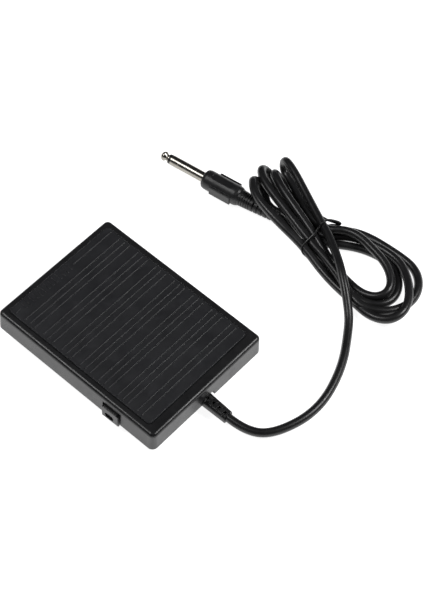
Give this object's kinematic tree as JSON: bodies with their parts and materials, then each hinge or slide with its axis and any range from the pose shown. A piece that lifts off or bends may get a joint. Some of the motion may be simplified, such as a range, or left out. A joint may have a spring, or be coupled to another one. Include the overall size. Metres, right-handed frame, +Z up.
{
  "type": "sustain pedal",
  "caption": "Flat hinged foot pedal with a ribbed tread, a sprung cap over a base tray, a side polarity switch and a tied-up lead ending in a quarter inch jack plug.",
  "frame": {"origin": "centre of the pedal's footprint, on the floor it stands on", "axes": "+Y to the rear, where the hinge and the lead are; +X to the polarity switch's side; +Z up"},
  "size_m": [0.2144, 0.188, 0.0257],
  "materials": {
    "cap_plastic": "satin black moulded ABS with a fine texture",
    "tread_rubber": "matt black ribbed rubber",
    "tray_plastic": "matt black moulded ABS",
    "foot_rubber": "soft black rubber",
    "inner_plastic": "dark moulded plastic",
    "pin_steel": "bright steel",
    "spring_steel": "drawn spring wire",
    "terminal_brass": "tinned brass",
    "switch_metal": "nickel-plated steel sheet",
    "wire_pvc": "thin insulated wire",
    "cord_pvc": "semi-gloss black PVC jacket",
    "boot_pvc": "moulded black PVC",
    "tie_wire": "black coated twist-tie wire",
    "plug_nickel": "polished nickel plate",
    "plug_insulation": "black insulating ring",
    "barrel_pvc": "satin moulded black PVC"
  },
  "bodies": {
    "base": {"base_tray": "tray_plastic", "rubber_feet": "foot_rubber", "hinge_pins": "pin_steel", "stop_bumpers": "foot_rubber", "return_spring": "spring_steel", "push_switch_case": "inner_plastic", "push_switch_terminals": "terminal_brass", "push_switch_screws": "pin_steel", "polarity_housing": "cap_plastic", "slide_switch_can": "switch_metal", "slide_switch_terminals": "terminal_brass", "cable_clamp": "inner_plastic", "clamp_screws": "pin_steel", "inner_lead": "cord_pvc", "switch_wires": "wire_pvc", "strain_relief": "boot_pvc", "cord_tube": "cord_pvc", "cord_hank": "cord_pvc", "twist_tie": "tie_wire", "plug_tip": "plug_nickel", "plug_insulator": "plug_insulation", "plug_sleeve": "plug_nickel", "plug_barrel": "barrel_pvc", "plug_strain_relief": "barrel_pvc"},
    "pedal": {"cap_shell": "cap_plastic", "tread_pad": "tread_rubber", "switch_actuator": "inner_plastic"},
    "push_button": {"push_switch_button": "inner_plastic"},
    "polarity_knob": {"polarity_slider": "inner_plastic"}
  },
  "joints": [
    {"name": "pedal_press", "type": "hinge", "parent": "base", "child": "pedal", "pos_m": [0, 0.0485, 0.0075], "axis": [1, 0, 0], "range_deg": [0, 3.3], "stiffness_Nm_per_rad": 4, "springref_deg": -3.44, "deforming": ["return_spring"]},
    {"name": "button_travel", "type": "slide", "parent": "base", "child": "push_button", "axis": [0, 0, -1], "range_m": [0, 0.00225]},
    {"name": "polarity_slide", "type": "slide", "parent": "base", "child": "polarity_knob", "axis": [0, 1, 0], "range_m": [0, 0.0026]}
  ],
  "couplings": [
    {"joint": "button_travel", "follows": "pedal_press", "m_per_rad": 0.0385}
  ]
}
